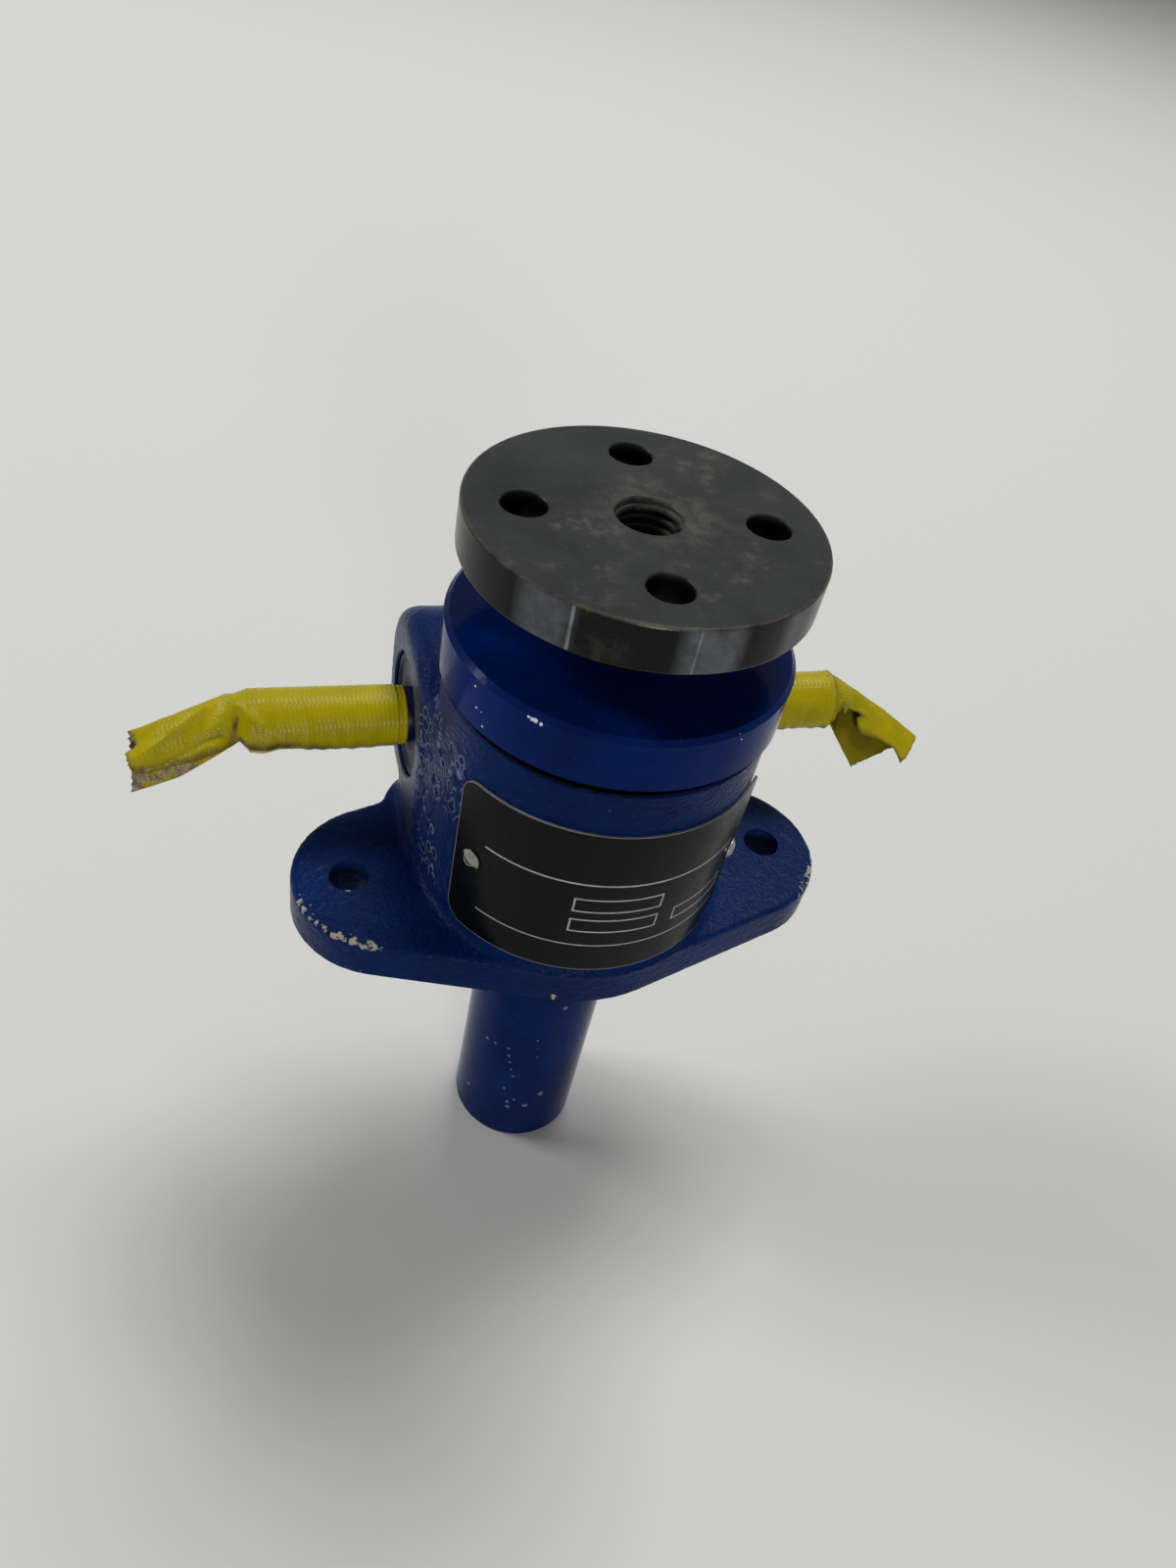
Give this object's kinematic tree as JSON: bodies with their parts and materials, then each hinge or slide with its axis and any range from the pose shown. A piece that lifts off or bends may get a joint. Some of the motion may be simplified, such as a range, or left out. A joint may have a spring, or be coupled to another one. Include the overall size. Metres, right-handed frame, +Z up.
{
  "type": "worm screw jack",
  "caption": "Worm screw jack with a diamond base, a cross shaft taped at both ends, a round top plate and a tube below.",
  "frame": {"origin": "centre of the base's underside, on the screw axis", "axes": "+Z up the lifting screw, +X along the worm shaft and the base's bolt holes, -Y towards the nameplate"},
  "size_m": [0.1906, 0.0908, 0.1905],
  "materials": {
    "housing_paint": "semi-gloss, rough casting",
    "cap_paint": "gloss",
    "tube_paint": "gloss",
    "dark_screws": "black oxide",
    "bronze": "machined",
    "brass": "satin",
    "rubber": "matte",
    "seal_rubber": "satin",
    "nameplate_black": "black, satin",
    "rivet_steel": "bright",
    "zinc_steel": "zinc plated",
    "bearing_steel": "polished",
    "spring_steel": "phosphated",
    "worm_steel": "ground",
    "screw_steel": "rolled",
    "black_oxide": "black oxide",
    "yellow_tape": "glossy, wrinkled"
  },
  "bodies": {
    "case": {"housing": "housing_paint", "bearing_cap": "cap_paint", "cap_lock_screws": "dark_screws", "cap_bushing": "bronze", "screw_wiper": "rubber", "lower_bushing": "bronze", "protection_tube": "tube_paint", "tube_plug": "tube_paint", "nameplate": "nameplate_black", "nameplate_rivets": "rivet_steel", "grease_fitting": "zinc_steel", "upper_case_washer": "bearing_steel", "lower_case_washer": "bearing_steel", "left_outer_race": "bearing_steel", "right_outer_race": "bearing_steel", "left_retaining_ring": "spring_steel", "right_retaining_ring": "spring_steel", "left_oil_seal": "seal_rubber", "right_oil_seal": "seal_rubber"},
    "wheel": {"worm_wheel": "bronze", "upper_wheel_washer": "bearing_steel", "lower_wheel_washer": "bearing_steel"},
    "worm": {"worm_shaft": "worm_steel", "left_inner_race": "bearing_steel", "right_inner_race": "bearing_steel", "left_shaft_tape": "yellow_tape", "right_shaft_tape": "yellow_tape"},
    "screw": {"lifting_screw": "screw_steel", "screw_stop": "screw_steel", "stop_pin": "spring_steel", "top_plate": "black_oxide", "plate_set_screw": "dark_screws"},
    "upper_cage": {"upper_thrust_cage": "brass", "upper_thrust_balls": "bearing_steel"},
    "lower_cage": {"lower_thrust_cage": "brass", "lower_thrust_balls": "bearing_steel"},
    "left_cage": {"left_bearing_cage": "brass", "left_bearing_balls": "bearing_steel"},
    "right_cage": {"right_bearing_cage": "brass", "right_bearing_balls": "bearing_steel"}
  },
  "joints": [
    {"name": "worm_turn", "type": "hinge", "parent": "case", "child": "worm", "pos_m": [0, 0.0254, 0.0343], "axis": [-1, 0, 0], "range_deg": [0, 43200]},
    {"name": "wheel_turn", "type": "hinge", "parent": "case", "child": "wheel", "pos_m": [0, 0, 0.0343], "axis": [0, 0, -1], "range_deg": [0, 8640]},
    {"name": "screw_lift", "type": "slide", "parent": "case", "child": "screw", "axis": [0, 0, 1], "range_m": [0, 0.0762]},
    {"name": "upper_cage_turn", "type": "hinge", "parent": "case", "child": "upper_cage", "pos_m": [0, 0, 0.0463], "axis": [0, 0, -1], "range_deg": [0, 4320]},
    {"name": "lower_cage_turn", "type": "hinge", "parent": "case", "child": "lower_cage", "pos_m": [0, 0, 0.0223], "axis": [0, 0, -1], "range_deg": [0, 4320]},
    {"name": "left_cage_turn", "type": "hinge", "parent": "case", "child": "left_cage", "pos_m": [-0.024, 0.0254, 0.0343], "axis": [-1, 0, 0], "range_deg": [0, 16632]},
    {"name": "right_cage_turn", "type": "hinge", "parent": "case", "child": "right_cage", "pos_m": [0.024, 0.0254, 0.0343], "axis": [-1, 0, 0], "range_deg": [0, 16632]}
  ],
  "couplings": [
    {"joint": "worm_turn", "follows": "screw_lift", "rad_per_m": 9894.8},
    {"joint": "wheel_turn", "follows": "screw_lift", "rad_per_m": 1979},
    {"joint": "upper_cage_turn", "follows": "screw_lift", "rad_per_m": 989.48},
    {"joint": "lower_cage_turn", "follows": "screw_lift", "rad_per_m": 989.48},
    {"joint": "left_cage_turn", "follows": "screw_lift", "rad_per_m": 3809.5},
    {"joint": "right_cage_turn", "follows": "screw_lift", "rad_per_m": 3809.5}
  ]
}
